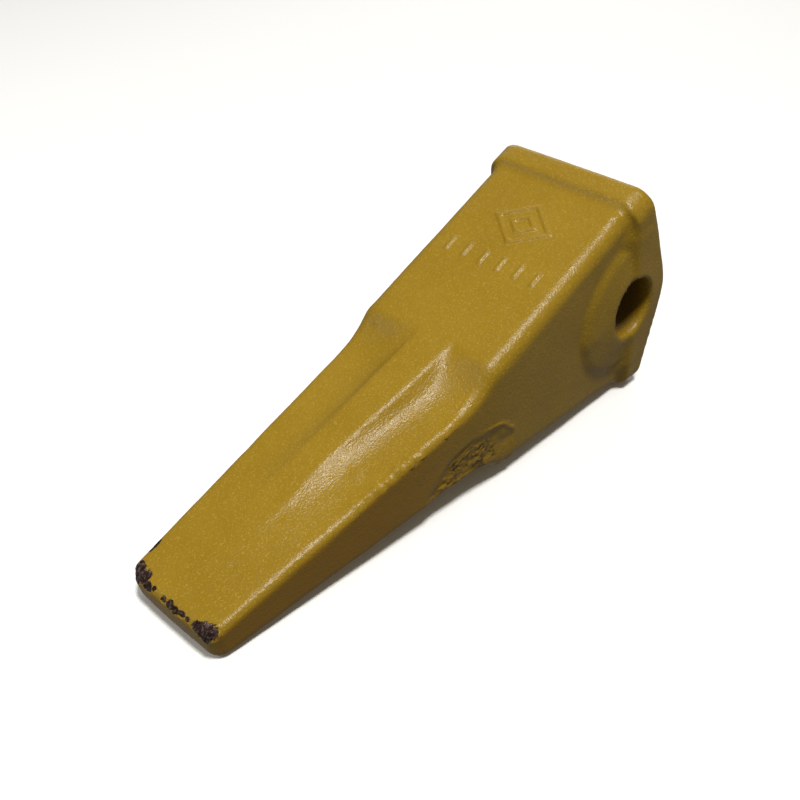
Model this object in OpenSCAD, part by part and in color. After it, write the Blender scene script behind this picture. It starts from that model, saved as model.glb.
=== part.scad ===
// Side-pinned tooth point for an excavator bucket, with its cross pin and its snap retainer.
// Millimetres. The origin is on the pin axis, midway between the ears. -X runs to the cutting end,
// +X out of the socket's mouth, +Y along the pin to its driving end, +Z up. The point lies on a
// level floor on its cutting end and the lower rear edge of its collar, as it does when unpacked.

/* [Point] */
// From the collar's rear face to the cutting edge
reach = 340; // [330:1:360]
// How far the pin axis is ahead of the collar's rear face
pin_setback = 17; // [15:0.5:20]
// Length of the box-shaped socket section
box_length = 142; // [138:1:150]
// Half height of the box at the collar's rear face
box_rear_half_h = 73; // [71:0.5:75]
// Half height of the box where the flutes start
box_front_half_h = 38.5; // [36:0.5:40]
// Half width of the box
box_half_w = 50; // [48:0.5:51]
// Radius along the box's long edges
box_edge_r = 9; // [5:0.5:12]

/* [Collar and ears] */
// Length of the raised collar round the mouth
collar_length = 15; // [12:0.5:18]
// Half height of the collar at its rear face
collar_half_h = 76.5; // [75:0.5:78]
// Half width of the collar at its top and bottom edges
collar_half_w = 55.5; // [53:0.1:56]
// Radius of the collar's four corners
collar_corner_r = 13; // [8:0.5:15]
// How far the ears reach behind the collar's rear face
ear_reach = 18; // [14:0.5:20]
// Radius of the ears' rear end
ear_end_r = 13; // [8:0.5:16]
// Half width over the two ears
ear_half_w = 57.5; // [56:0.5:59]
// Half height of the ears' flat outer face
ear_flat_half_h = 27; // [24:0.5:32]
// Radius of the round boss about the pin hole
boss_r = 40; // [34:0.5:42]

/* [Blade] */
// Half width of the cutting edge
tip_half_w = 33; // [29:0.5:36]
// Half thickness of the cutting edge
tip_half_t = 10; // [8:0.5:12]
// Length over which the flutes run down from the box
flute_runout = 20; // [16:1:26]
// Half thickness of the blade's sides where the flutes are deepest
flute_half_t = 25.5; // [22:0.5:28]
// Half width of the central spine at the box
spine_half_w = 15; // [12:0.5:18]
// Half width of the central spine where it runs out
spine_end_half_w = 9; // [6:0.5:12]
// Radius along the blade's long edges
blade_edge_r = 4; // [2:0.5:5]

/* [Socket] */
// Depth of the socket from the collar's rear face
socket_depth = 112; // [100:1:116]
// Half height of the socket's mouth
mouth_half_h = 61; // [59:0.5:63]
// Half height of the socket's flat front end
socket_end_half_h = 26; // [22:0.5:28]
// Half width of the socket between the ears
socket_half_w = 34; // [33:0.5:36]
// Half width of the socket's front end
socket_end_half_w = 29; // [26:0.5:31]
// How much of the socket's length has parallel sides
socket_parallel = 50; // [40:1:70]

/* [Cross hole, pin and retainer] */
// Radius of the cast hole through the ears
hole_r = 19; // [18.5:0.25:19.5]
// Rounding of the hole's outer lips
hole_lip_r = 3; // [2:0.25:4]
// Radius of the pin's shank
pin_r = 17.5; // [17:0.1:17.6]
// Length of the pin
pin_length = 106; // [100:1:110]
// Chamfer at the pin's ends
pin_chamfer = 3; // [2:0.5:5]
// Depth of the pin's snap groove
groove_depth = 1.8; // [1:0.1:2.5]
// How far the pin is backed out of its driven-home place
pin_backed_out = 21; // [19:0.5:24]
// Width of the retainer's spring ring
ring_width = 7; // [6:0.5:8]
// Radial thickness of the spring ring
ring_thickness = 4.2; // [3.5:0.1:5]
// Opening between the ring's ends, degrees
ring_gap_angle = 34; // [24:1:50]
// Width of the retainer's cushion
cushion_width = 8.5; // [8:0.5:10]
// Radial thickness of the cushion
cushion_thickness = 5.5; // [4:0.5:7]
// Radial gap between the shank and the ring while it is sprung open
sprung_gap = 0.9; // [0.85:0.05:1.1]
// Gap between the retainer and the ear beside it
side_gap = 0.4; // [0.3:0.05:0.6]

/* [Hidden] */
$fn = 96;
hull_fn = 16; // facets round the blended edges
beyond = 40; // how far a cutter runs past what it cuts
spine_end = 290; // where the spine has run out, from the collar's rear face
blade_root = box_length + flute_runout;
// How fast the spine thins towards the cutting end
spine_slope = (box_front_half_h - tip_half_t) / (reach - box_length);
spine_end_half_h = tip_half_t + (reach - spine_end) * spine_slope;
// The point tips until its cutting end and the collar's rear edge are level
lie_angle = atan((collar_half_h - tip_half_t) / reach);
ring_r = pin_r + sprung_gap;
ring_outer_r = ring_r + ring_thickness;
cushion_outer_r = ring_outer_r + cushion_thickness;
// The retainer stands against the inner face of the +Y ear
retainer_y = socket_half_w - side_gap - cushion_width / 2;
groove_width = ring_width + 2 * side_gap;

// Place along the nose axis, from a distance ahead of the collar's rear face
function ahead(u) = pin_setback - u;
// Half height of the box's sloping top at a distance ahead of the collar's rear face
function box_half_h(u) =
    box_rear_half_h - (box_rear_half_h - box_front_half_h) * u / box_length;
// An outline given on one side of the nose axis, with its mirror image joined on
function both_sides(points) = concat(
    points, [for (i = [len(points) - 1 : -1 : 0]) [points[i][0], -points[i][1]]]);

// Tips what is drawn level on the nose axis into the lying pose
module lying() {
    rotate([0, -lie_angle, 0]) children();
}

// A side-view outline, given as x and z, drawn through a width across Y
module side_outline(points, half_w) {
    rotate([90, 0, 0]) translate([0, 0, -half_w]) linear_extrude(2 * half_w) polygon(points);
}

// A plan outline, given as x and y, drawn through a height
module plan_outline(points, half_h) {
    translate([0, 0, -half_h]) linear_extrude(2 * half_h) polygon(points);
}

// A block between two cross sections, each rounded along its four long edges
module tapered_block(u1, half_w1, half_h1, u2, half_w2, half_h2, r) {
    hull() {
        for (end = [[u1, half_w1, half_h1], [u2, half_w2, half_h2]])
            for (sy = [-1, 1], sz = [-1, 1])
                translate([ahead(end[0]), sy * (end[1] - r), sz * (end[2] - r)])
                    sphere(r, $fn = hull_fn);
    }
}

// The cross section of the collar: flat ear faces that lean in to rounded corners
module collar_section() {
    corner_z = collar_half_h - collar_corner_r;
    corner_y = collar_half_w - collar_corner_r;
    polygon(both_sides([
        [-corner_y, collar_half_h], [-collar_half_w, corner_z], [-ear_half_w, ear_flat_half_h]]));
    polygon(both_sides([
        [corner_y, collar_half_h], [collar_half_w, corner_z], [ear_half_w, ear_flat_half_h]]));
    square([2 * corner_y, 2 * collar_half_h], center = true);
    for (sy = [-1, 1], sz = [-1, 1])
        translate([sy * corner_y, sz * corner_z]) circle(collar_corner_r);
}

// The side outline of the mouth's end: its rear edges rake back to the rounded ends of the ears
module raked_end(front_u) {
    rake = atan(ear_reach / (collar_half_h - collar_corner_r));
    tangent_z = ear_end_r * sin(rake);
    tangent_x = ahead(-ear_reach) - ear_end_r * (1 - cos(rake));
    front_half_h = collar_half_h - (box_rear_half_h - box_half_h(front_u));
    side_outline(both_sides([
        [ahead(front_u), front_half_h], [ahead(0), collar_half_h],
        [ahead(0) + 1, collar_half_h - collar_corner_r], [tangent_x, tangent_z]]), ear_half_w);
    translate([ahead(-ear_reach) - ear_end_r, 0, 0]) rotate([90, 0, 0])
        cylinder(r = ear_end_r, h = 2 * ear_half_w, center = true);
}

// The collar with its two ears
module collar_and_ears() {
    intersection() {
        translate([ahead(collar_length), 0, 0]) rotate([90, 0, 90])
            linear_extrude(collar_length + ear_reach) collar_section();
        raked_end(collar_length);
    }
}

// The round bosses about the pin hole, cut back to the ears' ends
module bosses() {
    intersection() {
        rotate([90, 0, 0]) cylinder(r = boss_r, h = 2 * ear_half_w, center = true);
        raked_end(pin_setback + boss_r);
    }
}

// The tapering socket that goes over the adapter's nose
module socket() {
    intersection() {
        side_outline(both_sides([
            [ahead(-beyond), mouth_half_h], [ahead(0), mouth_half_h],
            [ahead(socket_depth), socket_end_half_h]]), socket_half_w);
        plan_outline(both_sides([
            [ahead(-beyond), socket_half_w], [ahead(socket_parallel), socket_half_w],
            [ahead(socket_depth), socket_end_half_w]]), mouth_half_h);
    }
}

// The cast cross hole, with a rounded lip at each ear's outer face
module cross_hole() {
    rotate([90, 0, 0]) cylinder(r = hole_r, h = 2 * ear_half_w + beyond, center = true);
    for (side = [-90, 90])
        rotate([side, 0, 0]) translate([0, 0, ear_half_w - hole_lip_r]) rotate_extrude()
            difference() {
                square([hole_r + hole_lip_r, hole_lip_r + 1]);
                translate([hole_r + hole_lip_r, 0]) circle(hole_lip_r);
            }
}

// One casting: box, collar, ears, bosses, fluted blade and spine
module tooth_point() {
    color("darkgoldenrod") lying() difference() {
        union() {
            tapered_block(
                collar_length / 2, box_half_w, box_half_h(collar_length / 2),
                box_length, box_half_w, box_front_half_h, box_edge_r);
            tapered_block(
                blade_root, box_half_w - 2, flute_half_t,
                reach - blade_edge_r, tip_half_w, tip_half_t, blade_edge_r);
            // The run of the flutes down from the box
            tapered_block(
                box_length - box_edge_r, box_half_w, box_front_half_h, blade_root,
                box_half_w - 2, flute_half_t, blade_edge_r);
            tapered_block(
                box_length - box_edge_r, spine_half_w, box_front_half_h + 1,
                spine_end, spine_end_half_w, spine_end_half_h, blade_edge_r);
            collar_and_ears();
            bosses();
        }
        socket();
        cross_hole();
    }
}

// The plain cross pin, backed out until its end stands inside the socket
module retaining_pin() {
    half_length = pin_length / 2;
    color("dimgray") lying() translate([0, pin_backed_out, 0]) rotate([-90, 0, 0])
        rotate_extrude() difference() {
            polygon([
                [0, -half_length], [pin_r - pin_chamfer, -half_length],
                [pin_r, pin_chamfer - half_length], [pin_r, half_length - pin_chamfer],
                [pin_r - pin_chamfer, half_length], [0, half_length]]);
            translate([pin_r - groove_depth, retainer_y - groove_width / 2])
                square([groove_depth + 1, groove_width]);
        }
}

// A round band about the pin axis beside the +Y ear
module retainer_band(inner_r, outer_r, width) {
    translate([0, retainer_y, 0]) rotate([-90, 0, 0]) rotate_extrude()
        translate([inner_r, -width / 2]) square([outer_r - inner_r, width]);
}

// The wedge that parts the spring ring's ends, at the front of the ring
module ring_opening(r, angle) {
    far = 2 * r;
    side_outline([[0, 0], [-far, -far * tan(angle / 2)], [-far, far * tan(angle / 2)]], 2 * r);
}

// The split spring-steel ring that snaps into the pin's groove
module retainer_ring() {
    color("silver") lying() difference() {
        retainer_band(ring_r, ring_outer_r, ring_width);
        ring_opening(ring_outer_r, ring_gap_angle);
    }
}

// The rubber body bonded round the ring
module retainer_cushion() {
    color([0.15, 0.15, 0.15]) lying()
        retainer_band(ring_outer_r, cushion_outer_r, cushion_width);
}

tooth_point();
retaining_pin();
retainer_ring();
retainer_cushion();
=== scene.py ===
"""Bucket tooth point with its pin and retainer: looks, floor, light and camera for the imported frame."""

import math

import bmesh
import bpy
import numpy as np
import openvdb
from mathutils import Matrix, Vector, noise


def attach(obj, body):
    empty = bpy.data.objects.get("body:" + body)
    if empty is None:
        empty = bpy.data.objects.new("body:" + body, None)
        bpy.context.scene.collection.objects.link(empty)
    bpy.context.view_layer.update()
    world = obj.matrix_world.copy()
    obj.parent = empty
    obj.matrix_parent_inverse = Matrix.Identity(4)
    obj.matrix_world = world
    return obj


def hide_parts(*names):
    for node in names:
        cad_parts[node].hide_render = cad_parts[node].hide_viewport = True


MM = 0.001

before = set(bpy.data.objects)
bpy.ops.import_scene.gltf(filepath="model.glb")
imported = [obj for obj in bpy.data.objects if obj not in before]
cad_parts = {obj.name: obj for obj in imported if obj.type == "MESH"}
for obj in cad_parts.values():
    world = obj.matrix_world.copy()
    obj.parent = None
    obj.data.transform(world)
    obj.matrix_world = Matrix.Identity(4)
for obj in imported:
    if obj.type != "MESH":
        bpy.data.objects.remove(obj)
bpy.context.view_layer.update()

# ---------------------------------------------------------------------------------------------
# The casting's driving sizes, in millimetres. u runs forward from the collar's rear face along the
# nose axis, y along the pin and z across the other two; the row frame tips this by LIE.
# ---------------------------------------------------------------------------------------------
REACH = 340.0
PIN_SETBACK = 17.0
BOX_LENGTH = 142.0
BOX_REAR_H = 73.0
BOX_FRONT_H = 38.5
BOX_HALF_W = 49.5
TIP_HALF_W = 33.0
TIP_HALF_T = 10.0
BOX_SLOPE = (BOX_REAR_H - BOX_FRONT_H) / BOX_LENGTH
SPINE_SLOPE = (BOX_FRONT_H - TIP_HALF_T) / (REACH - BOX_LENGTH)
EDGE_SLOPE = 0.088       # how fast the blade's long edges thin towards the cutting end
CREASE_U = 145.0         # where the flutes start to run down from the box
RAMP_END = 184.0         # where that run meets the blade
RUN_CURVE = 3.3          # how hollow that run is
FLUTE_DEPTH = 4.2        # of a flute's floor below the spine, at the rear
FLUTE_END = 300.0        # where the flutes have faded out
SCOOP = 3.8              # how quickly a flute's floor falls away from the spine, at the rear
SCOOP_LOSS = 2.6         # how much less quickly at the front
SPINE_FOOT = 3.6         # width of the spine's side, from its crest to its foot
SPINE_HALF_W = 9.0       # the spine's crest, at the front
SPINE_WIDENING = 2.6     # how much wider each half of the crest is at the rear
SPINE_SHIFT = 3.8        # how far the spine lies off the middle plane at its rear, towards -Y
SPINE_WALL = 1.25        # slope of the spine's sides
COLLAR_PROUD = 3.5
COLLAR_FOOT = 18.8
EAR_HALF_W = 57.5
EAR_REACH = 18.0
EAR_PEAK = 20.5          # how far the ears' points lie behind the collar's rear face
EAR_PEAK_H = 70.0        # height over which the ears run back to those points
BOSS_R = 42.0
BOSS_BEVEL = 26.0        # width of the slope from a boss's face to the side
BOSS_NOSE_U = 53.0       # the rounded nose at the front of a boss
BOSS_NOSE_R = 5.0
HOLE_R = 20.9            # the cast hole is slightly oval, taller than it is wide
HOLE_NARROWING = 1.14
HOLE_LIP_R = 3.3         # extra rounding of the hole's lip at its low rear
SOCKET_DEPTH = 112.0
MOUTH_HALF_H = 61.0
SOCKET_END_H = 26.0
SOCKET_HALF_W = 34.0
SOCKET_END_W = 29.0
SOCKET_PARALLEL = 50.0
LIE = math.atan((BOX_REAR_H + COLLAR_PROUD - TIP_HALF_T) / REACH)
VOXEL = 2.05


def step(a, b, x):
    """Smooth 0 to 1 as x goes from a to b."""
    t = np.clip((x - a) / (b - a), 0.0, 1.0)
    return t * t * (3.0 - 2.0 * t)


def soft_max(a, b, k):
    """The larger of a and b, with the change between them smoothed over about k."""
    return 0.5 * (a + b + np.sqrt((a - b) ** 2 + k * k))


def soft_min(a, b, k):
    """The smaller of a and b, smoothed in the same way."""
    return -soft_max(-a, -b, k)


def round_both(a, b, r):
    """Inside both a and b, with the edge between them rounded to radius r."""
    corner = np.hypot(np.maximum(a + r, 0.0), np.maximum(b + r, 0.0))
    return np.minimum(-r, np.maximum(a, b)) + corner


def round_either(a, b, r):
    """Inside a or b, with a fillet of radius r where they meet."""
    return -round_both(-a, -b, r)


# ---------------------------------------------------------------------------------------------
# The casting as a field: negative inside the metal, in millimetres. The factors a little under 1
# are about the cosines of the faces' slopes, which keep the field close to a true distance.
# ---------------------------------------------------------------------------------------------
def side_w(u):
    """Half width of the box and the blade."""
    blade = TIP_HALF_W + (BOX_HALF_W - TIP_HALF_W) * (REACH - u) / (REACH - BOX_LENGTH)
    return soft_min(BOX_HALF_W, blade, 1.5)


def blend_max(a, b, k):
    """The larger of two heights, with a fillet where they are within k of each other."""
    near = np.maximum(k - np.abs(a - b), 0.0) / k
    return np.maximum(a, b) + near * near * k / 4.0


def spine_w(u):
    """Half width of the spine's crest."""
    return SPINE_HALF_W + SPINE_WIDENING * step(250.0, 140.0, u)


def flute_floor(u, ay):
    """Height of a flute's floor without its run up to the box."""
    spine = BOX_FRONT_H - SPINE_SLOPE * (u - BOX_LENGTH)
    edge = TIP_HALF_T + EDGE_SLOPE * (REACH - u)
    valley = spine - FLUTE_DEPTH * (1.0 - step(165.0, FLUTE_END, u))
    foot = (spine_w(u) + SPINE_FOOT) * step(315.0, 235.0, u)
    across = np.maximum(ay - foot, 0.0) / (side_w(u) - foot)
    fall = np.maximum(1.0 - across, 0.0) ** (SCOOP - SCOOP_LOSS * step(225.0, 285.0, u))
    return np.minimum(edge, valley) + np.maximum(valley - edge, 0.0) * fall


def top_h(u, ay):
    """Half height of the box and the fluted blade at u, at ay from the spine's middle."""
    box = BOX_REAR_H - BOX_SLOPE * u
    spine = BOX_FRONT_H - SPINE_SLOPE * (u - BOX_LENGTH)
    crest = soft_max(box, spine, 3.0)
    crease = BOX_REAR_H - BOX_SLOPE * CREASE_U
    run = np.maximum((RAMP_END - u) / (RAMP_END - CREASE_U), 0.0)
    ramp = flute_floor(u, ay) + (crease - flute_floor(CREASE_U, ay)) * run ** RUN_CURVE
    wall = crest - SPINE_WALL * (ay - spine_w(u))
    flute = blend_max(ramp, wall, 3.0)
    fluted = -blend_max(-crest, -flute, 2.6)
    return ramp + (fluted - ramp) * step(FLUTE_END, 235.0, u)


def wedge(u, y, az):
    """Box and blade."""
    ay = np.abs(y)
    from_spine = np.abs(y + SPINE_SHIFT * step(245.0, 135.0, u))
    top = (az - top_h(u, from_spine)) * 0.97
    side = (ay - side_w(u)) * 0.995
    end = u - REACH + 0.6 * (ay / TIP_HALF_W) ** 2
    edge_r = 9.2 - 4.5 * step(130.0, 178.0, u)
    return round_both(round_both(top, round_both(side, end, 7.0), edge_r), -(u - 3.0), 1.0)


def mouth_end(u, ay, az):
    """Collar, ears and bosses."""
    z_round = np.hypot(az, 11.0)
    rear = -(u + EAR_PEAK - EAR_PEAK * z_round / EAR_PEAK_H) * 0.96
    above = az - (BOX_REAR_H - BOX_SLOPE * u)
    ear_face = ay - EAR_HALF_W + 0.012 * np.maximum(u + EAR_REACH, 0.0)
    lean = ((ay - EAR_HALF_W) * 36.5 + (az - 27.0) * 2.0) / 36.55
    section = round_both((above - COLLAR_PROUD) * 0.965, soft_max(ear_face, lean, 3.0), 13.0)
    rise = soft_max(above, 0.75 * (ay - BOX_HALF_W), 3.0)
    front = (u - COLLAR_FOOT + 0.7 * rise) / 1.22
    collar = round_both(round_both(section, front, 1.3), rear, 3.0)
    from_pin = np.hypot(u - PIN_SETBACK, az)
    nose = np.hypot(u - BOSS_NOSE_U, az) - BOSS_NOSE_R
    outline = round_either(from_pin - BOSS_R, nose, 9.0)
    bevel = 0.96 * (ay - EAR_HALF_W + 0.6) + 0.27 * (outline + BOSS_BEVEL)
    pad = round_both(round_both(bevel, ear_face, 4.0), outline - 1.0, 2.0)
    return round_either(collar, round_both(pad, rear, 3.0), 4.0)


def socket(u, ay, az):
    """The tapering pocket that goes over the adapter's nose, negative inside it."""
    ahead = np.maximum(u, 0.0)
    taper = (MOUTH_HALF_H - SOCKET_END_H) / SOCKET_DEPTH
    top = (az - MOUTH_HALF_H + taper * ahead) * 0.942
    narrowing = (SOCKET_HALF_W - SOCKET_END_W) / (SOCKET_DEPTH - SOCKET_PARALLEL)
    side = ay - SOCKET_HALF_W + narrowing * np.maximum(u - SOCKET_PARALLEL, 0.0)
    return round_both(round_both(top, side, 7.0), u - SOCKET_DEPTH, 6.0)


def casting(p):
    """The whole casting at points p = (u, y, z)."""
    u, y, z = p[..., 0], p[..., 1], p[..., 2]
    ay, az = np.abs(y), np.abs(z)
    fillet = 2.4 + 6.0 * step(62.0, 48.0, az)
    f = round_either(wedge(u, y, az), mouth_end(u, ay, az), fillet)
    f = round_both(f, -socket(u, ay, az), 2.0)
    hole = np.hypot((u - PIN_SETBACK) * HOLE_NARROWING, z) - HOLE_R
    low_rear = step(-0.1, 0.9, (0.5 * (PIN_SETBACK - u) - 0.85 * z) / HOLE_R)
    lip = 1.2 + HOLE_LIP_R * low_rear * step(40.0, 48.0, ay)
    return round_both(f, -hole, lip)


def to_row(p):
    """Points (u, y, z) in millimetres to the row frame in metres."""
    x, z = PIN_SETBACK - p[:, 0], p[:, 2]
    c, s = math.cos(LIE), math.sin(LIE)
    return np.column_stack([x * c - z * s, p[:, 1], x * s + z * c]) * MM


def gradient(p, h=0.25):
    """The field's slope at points p, from differences h each way."""
    g = np.empty_like(p)
    for i in range(3):
        d = np.zeros(3)
        d[i] = h
        g[:, i] = (casting(p + d) - casting(p - d)) / (2.0 * h)
    return g


def settle(p, rounds=4):
    """Moves points onto the casting's surface; returns them with the surface normals."""
    for _ in range(rounds):
        g = gradient(p)
        n2 = np.maximum((g * g).sum(1), 0.05)
        p = p - np.clip(casting(p) / n2, -1.5, 1.5)[:, None] * g
    g = gradient(p)
    return p, g / np.maximum(np.linalg.norm(g, axis=1), 1e-6)[:, None]


def noise_at(p, size, seed):
    """Smooth noise of about -1 to 1 with features of that size in millimetres."""
    shift = Vector((17.3 * seed, -9.1 * seed, 5.7 * seed))
    q = p / size
    return np.array([noise.noise(Vector(v) + shift) for v in q]) * 1.6


def surface_mesh():
    """The casting's surface as a mesh in (u, y, z) millimetres."""
    low = np.array([-24.0, -60.0, -78.0])
    high = np.array([346.0, 60.0, 78.0])
    counts = np.ceil((high - low) / VOXEL).astype(int)
    axes = [low[i] + VOXEL * np.arange(counts[i]) for i in range(3)]
    values = np.empty(counts, dtype=np.float32)
    for i, u in enumerate(axes[0]):
        y, z = np.meshgrid(axes[1], axes[2], indexing="ij")
        values[i] = casting(np.stack([np.full_like(y, u), y, z], axis=-1))
    grid = openvdb.FloatGrid(background=8.0)
    grid.copyFromArray(np.clip(values, -8.0, 8.0))
    points, quads = grid.convertToQuads(0.0)
    return points * VOXEL + low, quads


# ---------------------------------------------------------------------------------------------
# Cast and worn detail, as heights above the smooth casting in millimetres
# ---------------------------------------------------------------------------------------------
# Chips in the paint: centre (u, y, z) and reach along each, in millimetres
CHIPS = [
    ((336.6, 28.0, 7.8), (6.4, 5.2, 5.0)), ((336.0, 22.5, 9.0), (4.6, 4.6, 3.6)),
    ((338.6, 17.6, 8.0), (3.2, 3.6, 3.0)), ((332.0, 29.0, 9.4), (2.4, 2.2, 2.6)),
    ((337.4, 12.6, 9.3), (1.4, 1.5, 2.0)), ((338.2, 4.4, 9.0), (1.8, 1.9, 2.2)),
    ((338.0, -0.6, 9.2), (2.6, 2.2, 2.4)), ((338.8, -4.8, 8.4), (2.2, 2.8, 2.6)),
    ((338.0, -9.6, 9.0), (1.7, 2.5, 2.2)), ((338.0, -14.2, 9.0), (1.2, 1.6, 1.8)),
    ((336.6, -26.8, 8.4), (5.8, 6.4, 5.0)), ((337.6, -20.6, 8.8), (2.4, 2.6, 2.4)),
    ((320.6, 31.9, 10.0), (5.5, 1.8, 2.2)),
]
# Small cast pits and lumps on the upper side: u, y, radius, height
LUMPS = [
    (150.2, 36.5, 1.3, -1.3), (168.5, 37.4, 3.0, 0.45), (229.2, -25.2, 2.4, 0.7),
    (227.0, -27.0, 1.6, -0.5), (248.7, -23.7, 2.6, 0.5), (261.9, -9.7, 2.2, 0.45),
    (260.2, -15.4, 1.8, 0.4), (197.0, 30.0, 2.2, 0.35), (120.0, -22.0, 2.5, 0.3),
    (176.0, -44.5, 3.2, 0.6), (181.7, -45.2, 1.8, 0.8), (199.5, -44.3, 2.2, 0.9),
    (206.9, -42.0, 2.4, 1.2), (214.7, -40.0, 2.6, 1.2), (223.0, -40.4, 1.9, 1.2),
    (230.4, -38.9, 2.2, 1.1), (236.7, -37.8, 1.6, 0.7), (244.3, -35.8, 2.0, 0.7),
    (204.4, -44.2, 1.2, -0.7), (305.8, -11.9, 1.0, -0.9), (278.0, -32.1, 1.0, -0.8),
    (58.0, 36.0, 2.6, 0.35), (100.0, 15.0, 2.4, 0.3), (27.0, -41.0, 3.4, 0.7),
    (24.0, -44.5, 2.6, 0.8), (31.0, -43.8, 2.2, 0.5),
]
MARK_AT = (52.0, 1.5)        # centre of the cast rhombus, as u and y
BARS_U = 82.0                # middle of the row of cast bars
BAR_LENGTH = 10.5
BAR_PITCH = 12.5
BAR_COUNT = 6
STROKE = 1.15                # half width of a cast stroke
STROKE_HEIGHT = 0.95
SCAR_AT = (167.0, -20.0)     # where the feeder was knocked off, as u and z on the -Y side
SCAR_REACH = (36.0, 24.5)


def chip_field(p):
    """Above 0 where the paint is chipped off, about 0.3 at a chip's middle."""
    best = np.full(len(p), -2.0)
    for centre, reach in CHIPS:
        d = np.sqrt((((p - np.array(centre)) / np.array(reach)) ** 2).sum(1))
        best = np.maximum(best, 1.0 - d)
    return best


def scar_field(p, n):
    """Above 0 inside the feeder's scar, up to 1 at its middle."""
    d = np.hypot((p[:, 0] - SCAR_AT[0]) / SCAR_REACH[0], (p[:, 2] - SCAR_AT[1]) / SCAR_REACH[1])
    near = (p[:, 1] < -30.0) & (n[:, 1] < 0.2)
    return np.where(near, 1.02 - d + 0.10 * noise_at(p * near[:, None], 13.0, 9), -1.0)


def rhombus_line(du, dy, a, b):
    """Distance to a rhombus outline with half diagonals a along u and b along y."""
    return np.abs(np.abs(du) / a + np.abs(dy) / b - 1.0) * a * b / math.hypot(a, b)


def mark_distance(u, y):
    """Distance to the strokes of the plain cast mark."""
    du, dy = u - MARK_AT[0], y - MARK_AT[1]
    d = np.minimum(rhombus_line(du, dy, 15.0, 18.5), rhombus_line(du, dy, 6.5, 8.0))
    for i in range(BAR_COUNT):
        along = np.maximum(np.abs(u - BARS_U) - BAR_LENGTH / 2 + STROKE, 0.0)
        across = y - MARK_AT[1] - (i - (BAR_COUNT - 1) / 2) * BAR_PITCH
        d = np.minimum(d, np.hypot(along, across))
    return d


def detail_height(p, n):
    """Height of the cast skin, marks, scar and chips at surface points p with normals n."""
    u, y, z = p.T
    h = 0.15 * noise_at(p, 26.0, 1) + 0.05 * noise_at(p, 9.0, 2) + 0.03 * noise_at(p, 3.6, 3)
    upper = (z > 0.0) & (n[:, 2] > 0.75)
    in_mark = upper & (u > 28.0) & (u < 92.0) & (np.abs(y) < 44.0)
    stroke = np.zeros(len(p))
    stroke[in_mark] = 1.0 - step(STROKE - 0.55, STROKE + 0.75, mark_distance(u[in_mark], y[in_mark]))
    h += STROKE_HEIGHT * stroke
    for lu, ly, radius, height in LUMPS:
        d = np.hypot(u - lu, y - ly) / radius
        h += np.where((z > 0.0) & (n[:, 2] > 0.3), height * np.exp(-d * d), 0.0)
    scar = scar_field(p, n)
    inside = scar > -0.15
    q = p[inside]
    along = q * np.array([0.4, 1.0, 1.0])
    torn = noise_at(along, 4.0, 4)
    pits = step(0.30, 0.80, noise_at(along, 3.0, 6) + 0.02 * (q[:, 2] + 8.0))
    level = step(0.0, 0.28, scar[inside] + 0.05 * torn) * (0.2 + 0.8 * step(-28.0, -17.0, q[:, 2]))
    rough = step(140.0, 152.0, q[:, 0]) * step(0.05, 0.35, scar[inside])
    lip = np.exp(-((scar[inside] + 0.01) / 0.035) ** 2) * step(160.0, 140.0, q[:, 0])
    torn = rough * (0.35 * torn + 0.25 * noise_at(q, 1.9, 5) - 0.9 * pits)
    h[inside] += level * (torn - 1.0) + 0.7 * lip
    chip = chip_field(p)
    torn_chip = np.zeros(len(p))
    near = chip > -0.6
    torn_chip[near] = chip[near] + 0.22 * noise_at(p[near], 2.6, 7)
    gone = step(0.0, 0.16, torn_chip)
    rough = np.zeros(len(p))
    rough[near] = noise_at(p[near], 1.7, 8)
    return h + gone * (-0.7 + 0.14 * rough)


def needs_fine_mesh(centre):
    """Whether a face at centre = (u, y, z) holds cast or worn detail finer than the voxels."""
    u, y, z = centre
    if u > 314.0:
        return z > -2.0 or u > 330.0
    if z > 30.0 and 33.0 < u < 91.0 and abs(y) < 40.0:
        return True
    if z > 62.0 and 11.0 < u < 24.0:
        return True
    if z > 4.0 and 172.0 < u < 250.0 and y < -31.0:
        return True
    return y < -38.0 and 130.0 < u < 205.0 and -25.0 < z < 6.0


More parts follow.
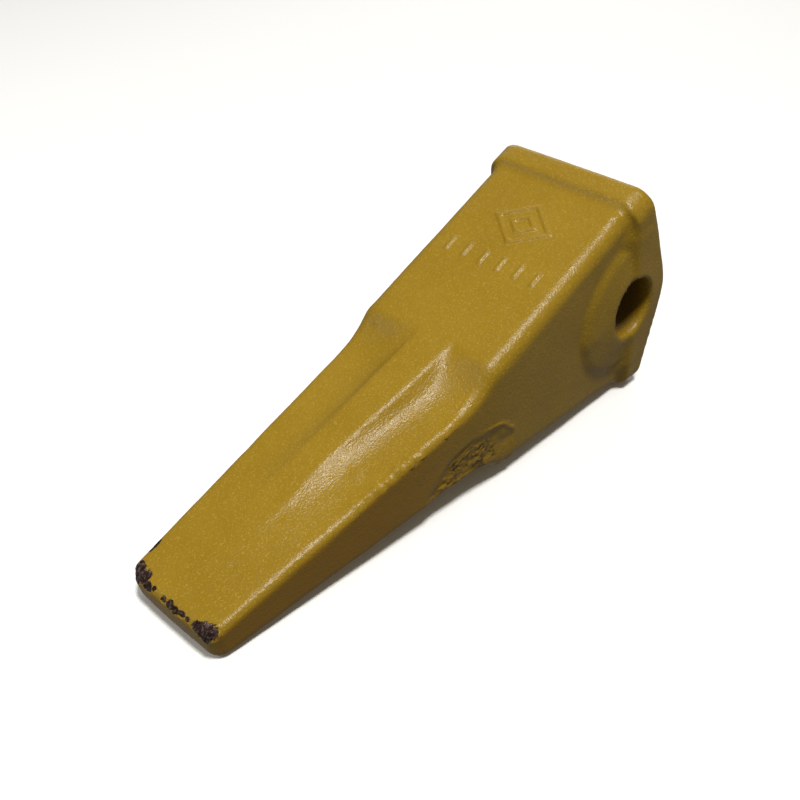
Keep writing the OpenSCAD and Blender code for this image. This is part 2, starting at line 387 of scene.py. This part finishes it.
def casting_piece():
    """The finished casting as one mesh object."""
    points, quads = surface_mesh()
    bm = bmesh.new()
    verts = [bm.verts.new(v) for v in points]
    for quad in quads:
        bm.faces.new([verts[i] for i in quad[::-1]])
    bm.normal_update()
    fine = [f for f in bm.faces if needs_fine_mesh(f.calc_center_median())]
    edges = list({e for f in fine for e in f.edges})
    bmesh.ops.subdivide_edges(bm, edges=edges, cuts=2, use_grid_fill=True)
    bmesh.ops.triangulate(bm, faces=[f for f in bm.faces if len(f.verts) > 4])
    mesh = bpy.data.meshes.new("tooth_point_cast")
    bm.to_mesh(mesh)
    bm.free()
    p = np.empty(len(mesh.vertices) * 3)
    mesh.vertices.foreach_get("co", p)
    p, n = settle(p.reshape(-1, 3))
    chip, scar = chip_field(p), scar_field(p, n)
    # How hollow the surface is at each point; the paint darkens it into painted shade
    fall = (casting(p + 2.0 * n) - 2.0) + (casting(p - 2.0 * n) + 2.0)
    # A browner, darker colour on the blade's faces that turn sideways
    faces_sideways = step(0.6, 0.15, np.abs(n[:, 2])) * step(0.8, 0.4, np.abs(n[:, 0]))
    stain = step(110.0, 250.0, p[:, 0]) * faces_sideways
    # Where the pin holes and the socket lie; the paint darkens them into painted shade
    from_pin = np.hypot((p[:, 0] - PIN_SETBACK) * HOLE_NARROWING, p[:, 2])
    in_hole = step(HOLE_R + 3.0, HOLE_R + 0.5, from_pin) * step(56.0, 46.0, np.abs(p[:, 1]))
    in_socket = step(-2.5, -0.5, -socket(p[:, 0], np.abs(p[:, 1]), np.abs(p[:, 2])))
    shade = np.maximum(in_hole, in_socket)
    shaped = p + n * detail_height(p, n)[:, None]
    mesh.vertices.foreach_set("co", to_row(shaped).ravel())
    # The hollow measure and the hole and socket mask drive painted shade in the paint's colour
    shown = {"chip": chip, "scar": scar, "painted_hollow_shade": fall, "stain": stain, "inside": shade}
    for name, values in shown.items():
        mesh.attributes.new(name, "FLOAT", "POINT").data.foreach_set("value", values)
    mesh.shade_smooth()
    mesh.update()
    piece = bpy.data.objects.new("tooth_point_cast", mesh)
    bpy.context.scene.collection.objects.link(piece)
    return piece


# ---------------------------------------------------------------------------------------------
# Materials
# ---------------------------------------------------------------------------------------------
class Nodes:
    """Short calls for building one material's nodes."""

    def __init__(self, name):
        self.material = bpy.data.materials.new(name)
        self.material.use_nodes = True
        self.tree = self.material.node_tree
        self.shader = self.tree.nodes["Principled BSDF"]
        self.coords = self.tree.nodes.new("ShaderNodeTexCoord").outputs["Object"]

    def link(self, out, socket):
        self.tree.links.new(out, socket)

    def noise(self, per_metre, detail=3.0, roughness=0.55, stretch=None):
        coords = self.coords
        if stretch:
            mapping = self.tree.nodes.new("ShaderNodeMapping")
            mapping.inputs["Scale"].default_value = stretch
            self.link(coords, mapping.inputs["Vector"])
            coords = mapping.outputs["Vector"]
        node = self.tree.nodes.new("ShaderNodeTexNoise")
        node.inputs["Scale"].default_value = per_metre
        node.inputs["Detail"].default_value = detail
        node.inputs["Roughness"].default_value = roughness
        self.link(coords, node.inputs["Vector"])
        return node.outputs["Fac"]

    def attribute(self, name):
        node = self.tree.nodes.new("ShaderNodeAttribute")
        node.attribute_name = name
        return node.outputs["Fac"]

    def math(self, operation, a, b=0.0):
        node = self.tree.nodes.new("ShaderNodeMath")
        node.operation = operation
        for value, socket in ((a, node.inputs[0]), (b, node.inputs[1])):
            if isinstance(value, (int, float)):
                socket.default_value = value
            else:
                self.link(value, socket)
        return node.outputs[0]

    def span(self, value, low, high, to_low=0.0, to_high=1.0):
        node = self.tree.nodes.new("ShaderNodeMapRange")
        node.interpolation_type = "SMOOTHSTEP"
        limits = {"From Min": low, "From Max": high, "To Min": to_low, "To Max": to_high}
        for name, number in limits.items():
            node.inputs[name].default_value = number
        self.link(value, node.inputs["Value"])
        return node.outputs["Result"]

    def mix(self, factor, a, b):
        """Mixes two colours, each a node output or a red, green and blue."""
        node = self.tree.nodes.new("ShaderNodeMix")
        node.data_type = "RGBA"
        for value, name in ((factor, "Factor"), (a, "A"), (b, "B")):
            socket = node.inputs[name]
            if isinstance(value, (int, float)):
                socket.default_value = value
            elif isinstance(value, tuple):
                socket.default_value = (*value, 1.0)
            else:
                self.link(value, socket)
        return node.outputs["Result"]

    def mix_number(self, factor, a, b):
        node = self.tree.nodes.new("ShaderNodeMix")
        for value, name in ((factor, "Factor"), (a, "A"), (b, "B")):
            socket = node.inputs[name]
            if isinstance(value, (int, float)):
                socket.default_value = value
            else:
                self.link(value, socket)
        return node.outputs["Result"]

    def bump(self, height, distance, strength=1.0, under=None):
        node = self.tree.nodes.new("ShaderNodeBump")
        node.inputs["Distance"].default_value = distance
        node.inputs["Strength"].default_value = strength
        self.link(height, node.inputs["Height"])
        if under is not None:
            self.link(under, node.inputs["Normal"])
        return node.outputs["Normal"]


def painted_casting():
    """Ochre paint over a rough cast skin, with chips, grime in the scar, painted glints, painted shade in
    hollows, holes and socket, and a browner, darker colour on the blade's sides.
    """
    m = Nodes("ochre_paint_on_cast_skin")
    blotch = m.span(m.noise(22.0, 4.0), 0.35, 0.65)
    speck = m.span(m.noise(420.0, 3.0, 0.6), 0.3, 0.7)
    paint = m.mix(blotch, (0.279, 0.168, 0.0085), (0.308, 0.186, 0.011))
    paint = m.mix(m.math("MULTIPLY", speck, 0.30), paint, (0.245, 0.144, 0.0085))
    # Fine bright specks of colour that stand in for glints off the rough skin: painted glints
    painted_glints = m.span(m.noise(950.0, 2.0, 0.7), 0.55, 0.68)
    paint = m.mix(m.math("MULTIPLY", painted_glints, 0.62), paint, (0.450, 0.300, 0.048))
    # Painted shade: the paint is darkened in hollows, creases and the feet of steps, where shade falls
    painted_hollow_shade = m.span(m.attribute("painted_hollow_shade"), 0.25, 1.1)
    paint = m.mix(m.math("MULTIPLY", painted_hollow_shade, 0.35), paint, (0.198, 0.112, 0.0085))
    # A browner, darker colour on the blade's sideways-facing faces, and painted shade inside the holes
    # and the socket
    paint = m.mix(m.attribute("stain"), paint, (0.245, 0.127, 0.006))
    # Painted shade: the holes' walls and the socket are darkened where shade falls
    paint = m.mix(m.math("MULTIPLY", m.attribute("inside"), 0.65), paint, (0.085, 0.038, 0.008))
    # Bare metal where the paint is chipped, with light specks of colour that stand in for glints off it:
    # painted glints
    edge = m.math("ADD", m.noise(300.0, 4.0, 0.6), -0.5)
    chip = m.math("ADD", m.attribute("chip"), m.math("MULTIPLY", edge, 1.5))
    bare = m.span(chip, 0.0, 0.045)
    painted_metal_glints = m.span(m.noise(520.0, 3.0, 0.6), 0.46, 0.72)
    metal = m.mix(painted_metal_glints, (0.028, 0.012, 0.009), (0.17, 0.12, 0.10))
    # Grime held in the torn pits of the feeder's scar
    torn = m.span(m.noise(310.0, 4.0, 0.65, stretch=(0.55, 1.0, 1.0)), 0.52, 0.60)
    scar = m.span(m.attribute("scar"), 0.15, 0.45)
    grime = m.math("MULTIPLY", torn, m.math("MULTIPLY", scar, 0.8))
    colour = m.mix(grime, paint, (0.055, 0.030, 0.008))
    colour = m.mix(bare, colour, metal)
    m.link(colour, m.shader.inputs["Base Color"])
    gloss = m.span(m.noise(160.0, 3.0), 0.3, 0.7, 0.25, 0.34)
    m.link(m.mix_number(bare, gloss, 0.38), m.shader.inputs["Roughness"])
    m.link(m.mix_number(bare, 0.0, 0.45), m.shader.inputs["Metallic"])
    m.shader.inputs["Specular IOR Level"].default_value = 0.30
    skin = m.bump(m.noise(800.0, 2.0, 0.6), 0.00032, 1.0)
    skin = m.bump(m.noise(260.0, 3.0, 0.55), 0.0005, 0.2, under=skin)
    skin = m.bump(bare, -0.0003, 1.0, under=skin)
    m.link(skin, m.shader.inputs["Normal"])
    return m.material


def turned_steel(name, light, dark, roughness):
    """Machined steel with fine marks round the pin's axis and a thin oily stain."""
    m = Nodes(name)
    stain = m.span(m.noise(70.0, 4.0, 0.6), 0.35, 0.7)
    m.link(m.mix(stain, light, dark), m.shader.inputs["Base Color"])
    turning = m.noise(1.0, 2.0, 0.5, stretch=(30.0, 1700.0, 30.0))
    m.link(m.span(turning, 0.3, 0.7, roughness - 0.06, roughness + 0.08), m.shader.inputs["Roughness"])
    m.shader.inputs["Metallic"].default_value = 1.0
    scuff = m.bump(turning, 0.00008, 0.5)
    m.link(m.bump(m.noise(180.0, 3.0), 0.0001, 0.4, under=scuff), m.shader.inputs["Normal"])
    return m.material


def moulded_rubber():
    """Matt black rubber with a faint bloom."""
    m = Nodes("moulded_black_rubber")
    bloom = m.span(m.noise(120.0, 4.0, 0.6), 0.4, 0.75)
    m.link(m.mix(bloom, (0.012, 0.012, 0.012), (0.030, 0.029, 0.028)), m.shader.inputs["Base Color"])
    m.link(m.span(m.noise(300.0, 2.0), 0.3, 0.7, 0.55, 0.75), m.shader.inputs["Roughness"])
    m.link(m.bump(m.noise(900.0, 2.0), 0.0001, 0.5), m.shader.inputs["Normal"])
    return m.material


# ---------------------------------------------------------------------------------------------
# Pieces
# ---------------------------------------------------------------------------------------------
tooth = casting_piece()
tooth.data.materials.append(painted_casting())
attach(tooth, "point")
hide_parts("tooth_point")

looks = {
    "retaining_pin": turned_steel("oiled_pin_steel", (0.28, 0.275, 0.27), (0.10, 0.085, 0.07), 0.34),
    "retainer_ring": turned_steel("spring_steel", (0.34, 0.34, 0.35), (0.16, 0.15, 0.14), 0.30),
    "retainer_cushion": moulded_rubber(),
}
for node, material in looks.items():
    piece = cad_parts[node]
    for slot in piece.material_slots:
        slot.material = material

# ---------------------------------------------------------------------------------------------
# Floor, light and camera
# ---------------------------------------------------------------------------------------------
floor_z = min(corner.z for corner in [tooth.matrix_world @ v.co for v in tooth.data.vertices])
bpy.ops.mesh.primitive_plane_add(size=12.0, location=(0.0, 0.0, floor_z))
floor = bpy.context.object
floor.name = "floor"
plain = Nodes("pale_floor")
plain.shader.inputs["Base Color"].default_value = (0.96, 0.96, 0.955, 1.0)
plain.shader.inputs["Roughness"].default_value = 0.85
floor.data.materials.append(plain.material)
floor.visible_diffuse = False
floor.visible_glossy = False

world = bpy.data.worlds.new("studio")
world.use_nodes = True
world.node_tree.nodes["Background"].inputs["Color"].default_value = (1.0, 0.97, 0.90, 1.0)
world.node_tree.nodes["Background"].inputs["Strength"].default_value = 0.20
bpy.context.scene.world = world


def softbox(name, direction, distance, size, power, colour=(1.0, 1.0, 1.0)):
    """An area light that shines on the object from that direction."""
    aim = Vector((-0.12, 0.0, 0.0))
    light = bpy.data.lights.new(name, "AREA")
    light.shape = "RECTANGLE"
    light.size, light.size_y = size
    light.energy = power
    light.color = colour
    lamp = bpy.data.objects.new(name, light)
    lamp.location = aim + Vector(direction).normalized() * distance
    lamp.rotation_euler = (aim - lamp.location).to_track_quat("-Z", "Y").to_euler()
    bpy.context.scene.collection.objects.link(lamp)


softbox("overhead_softbox", (-0.10, -0.23, 0.96), 2.6, (0.42, 0.42), 64.0, (1.0, 0.985, 0.95))
softbox("front_softbox", (-0.60, -0.02, 0.80), 2.6, (0.4, 0.4), 7.0)
softbox("far_softbox", (-0.69, 0.53, 0.49), 2.6, (0.35, 0.35), 5.0)
softbox("rear_fill", (0.75, 0.5, 0.35), 2.2, (1.4, 1.4), 10.0)

CAMERA_AT = Vector((-0.47515, -0.28670, 0.30987))
CAMERA_AIM = Vector((-0.13071, 0.01908, -0.0400))
CAMERA_ROLL = math.radians(-1.63)
camera_data = bpy.data.cameras.new("camera")
camera_data.sensor_width = 36.0
camera_data.lens = 43.14
camera = bpy.data.objects.new("camera", camera_data)
camera.location = CAMERA_AT
turn = (CAMERA_AIM - CAMERA_AT).to_track_quat("-Z", "Y").to_matrix()
camera.rotation_euler = (turn @ Matrix.Rotation(-CAMERA_ROLL, 3, "Z")).to_euler()
bpy.context.scene.collection.objects.link(camera)
bpy.context.scene.camera = camera
bpy.context.scene.view_settings.view_transform = "Standard"
